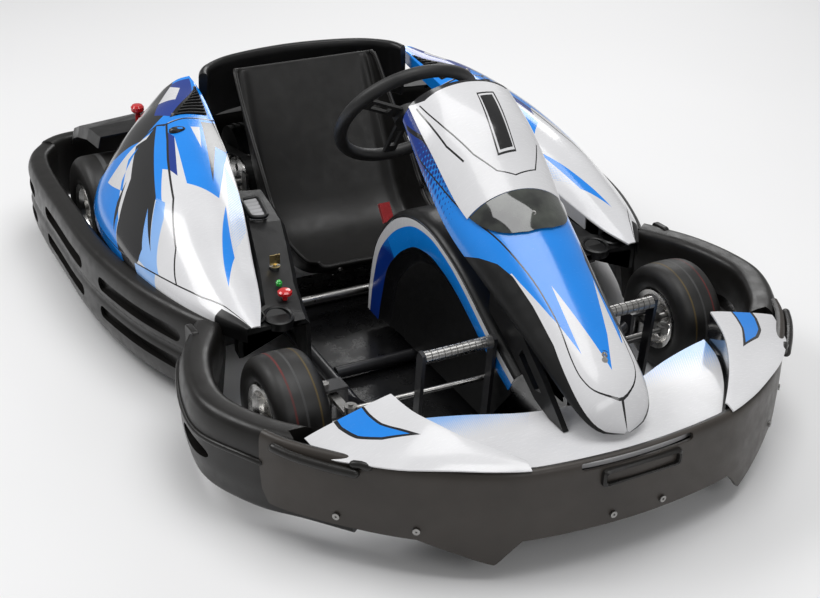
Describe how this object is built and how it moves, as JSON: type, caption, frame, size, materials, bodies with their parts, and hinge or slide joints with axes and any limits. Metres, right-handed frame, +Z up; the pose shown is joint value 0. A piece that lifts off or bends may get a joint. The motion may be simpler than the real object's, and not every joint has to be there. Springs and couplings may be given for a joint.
{
  "type": "electric rental go-kart",
  "caption": "Electric rental go-kart with all-round bumpers, side fairings, nose panel, bucket seat, steering, pedals, four slick tyres and a belt-driven live rear axle.",
  "frame": {"origin": "on the ground under the middle of the overall length and width", "axes": "+Z up; the kart faces -Y; the driver's right hand is -X"},
  "size_m": [1.4018, 1.954, 0.6975],
  "materials": {
    "painted_frame": "satin black powder coat",
    "floor_black": "black sheet floor pan",
    "skirt_brown": "satin graphite moulding",
    "moulded_black": "satin black moulding",
    "panel_white": "gloss white panel",
    "panel_blue": "gloss blue panel",
    "smoke": "dark smoked bubble",
    "steel": "brushed steel",
    "alloy": "machined aluminium",
    "cast": "dark cast metal",
    "tyre": "slick tyre rubber",
    "grip": "soft black grip",
    "red": "red push button",
    "brass": "key brass",
    "webbing": "red webbing",
    "battery": "battery case"
  },
  "bodies": {
    "chassis": {"side_rails": "painted_frame", "cross_tubes": "painted_frame", "floor_pan": "floor_black", "front_skirt": "skirt_brown", "front_carrier": "moulded_black", "deck_centre": "panel_white", "deck_right": "panel_white", "deck_left": "panel_white", "deck_inserts": "panel_blue", "wheel_guard_right": "moulded_black", "wheel_guard_left": "moulded_black", "side_bumper_right": "moulded_black", "side_bumper_left": "moulded_black", "rear_bumper": "moulded_black", "rear_cover": "moulded_black", "rear_hoop": "moulded_black", "fairing_right": "panel_white", "fairing_left": "panel_white", "vent_grilles": "moulded_black", "console_right": "moulded_black", "console_left": "moulded_black", "switch_panel": "steel", "seat": "moulded_black", "seat_mounts": "steel", "nose_panel": "panel_blue", "number_shield": "panel_white", "visor": "smoke", "nose_legs": "moulded_black", "column_shroud": "moulded_black", "grab_strap": "webbing", "kingpins": "steel", "axle_bearings": "cast", "brake_caliper": "cast", "motor": "cast", "drive_belt": "grip", "batteries": "battery", "fasteners": "steel"},
    "steering": {"steering_wheel": "grip", "steering_column": "steel"},
    "steering_knuckle_right": {"knuckle_right": "steel"},
    "steering_knuckle_left": {"knuckle_left": "steel"},
    "track_rod_right": {"tie_rod_right": "steel"},
    "track_rod_left": {"tie_rod_left": "steel"},
    "front_wheel_right": {"front_rim_right": "alloy", "front_tyre_right": "tyre"},
    "front_wheel_left": {"front_rim_left": "alloy", "front_tyre_left": "tyre"},
    "live_axle": {"rear_axle": "steel", "rear_rims": "alloy", "rear_tyres": "tyre", "brake_disc": "steel", "axle_pulley": "alloy"},
    "motor_rotor": {"motor_pulley": "alloy"},
    "throttle": {"throttle_pedal": "painted_frame", "throttle_roller": "alloy"},
    "brake": {"brake_pedal": "painted_frame", "brake_roller": "alloy"},
    "key_turn": {"key": "brass"},
    "stop_push": {"stop_button": "red"},
    "cutoff": {"cutoff_knob": "red"}
  },
  "joints": [
    {"name": "steering_turn", "type": "hinge", "parent": "chassis", "child": "steering", "pos_m": [0, -0.004, 0.543], "axis": [0, 0.8192, 0.5736], "range_deg": [-50, 50]},
    {"name": "kingpin_right", "type": "hinge", "parent": "chassis", "child": "steering_knuckle_right", "pos_m": [-0.3975, -0.43, 0.127], "axis": [0, 0, 1], "range_deg": [-25, 25]},
    {"name": "kingpin_left", "type": "hinge", "parent": "chassis", "child": "steering_knuckle_left", "pos_m": [0.3975, -0.43, 0.127], "axis": [0, 0, 1], "range_deg": [-25, 25]},
    {"name": "rod_end_right", "type": "hinge", "parent": "steering_knuckle_right", "child": "track_rod_right", "pos_m": [-0.3835, -0.525, 0.163], "axis": [0, 0, 1], "range_deg": [-25, 25]},
    {"name": "rod_end_left", "type": "hinge", "parent": "steering_knuckle_left", "child": "track_rod_left", "pos_m": [0.3835, -0.525, 0.163], "axis": [0, 0, 1], "range_deg": [-25, 25]},
    {"name": "front_wheel_spin_right", "type": "hinge", "parent": "steering_knuckle_right", "child": "front_wheel_right", "pos_m": [-0.4845, -0.43, 0.127], "axis": [1, 0, 0], "continuous": true},
    {"name": "front_wheel_spin_left", "type": "hinge", "parent": "steering_knuckle_left", "child": "front_wheel_left", "pos_m": [0.4845, -0.43, 0.127], "axis": [1, 0, 0], "continuous": true},
    {"name": "axle_spin", "type": "hinge", "parent": "chassis", "child": "live_axle", "pos_m": [0, 0.64, 0.14], "axis": [1, 0, 0], "continuous": true},
    {"name": "motor_spin", "type": "hinge", "parent": "chassis", "child": "motor_rotor", "pos_m": [-0.15, 0.825, 0.152], "axis": [1, 0, 0], "continuous": true},
    {"name": "throttle_push", "type": "hinge", "parent": "chassis", "child": "throttle", "pos_m": [-0.1945, -0.596, 0.084], "axis": [1, 0, 0], "range_deg": [0, 25], "stiffness_Nm_per_rad": 3, "springref_deg": -17.19},
    {"name": "brake_push", "type": "hinge", "parent": "chassis", "child": "brake", "pos_m": [0.1945, -0.596, 0.084], "axis": [1, 0, 0], "range_deg": [0, 20], "stiffness_Nm_per_rad": 5, "springref_deg": -17.19},
    {"name": "key_turn_joint", "type": "hinge", "parent": "chassis", "child": "key_turn", "pos_m": [-0.352, -0.062, 0.255], "axis": [0, 0, 1], "range_deg": [0, 90]},
    {"name": "stop_press", "type": "slide", "parent": "chassis", "child": "stop_push", "axis": [0, 0, -1], "range_m": [0, 0.006], "stiffness_N_per_m": 400, "springref_m": -0.004},
    {"name": "cutoff_press", "type": "slide", "parent": "chassis", "child": "cutoff", "axis": [0, 0, -1], "range_m": [0, 0.01], "stiffness_N_per_m": 600, "springref_m": -0.004}
  ],
  "couplings": [
    {"joint": "kingpin_right", "follows": "steering_turn", "ratio": 0.5},
    {"joint": "kingpin_left", "follows": "steering_turn", "ratio": 0.5},
    {"joint": "rod_end_right", "follows": "steering_turn", "ratio": -0.5},
    {"joint": "rod_end_left", "follows": "steering_turn", "ratio": -0.5},
    {"joint": "motor_spin", "follows": "axle_spin", "ratio": 2.4}
  ]
}
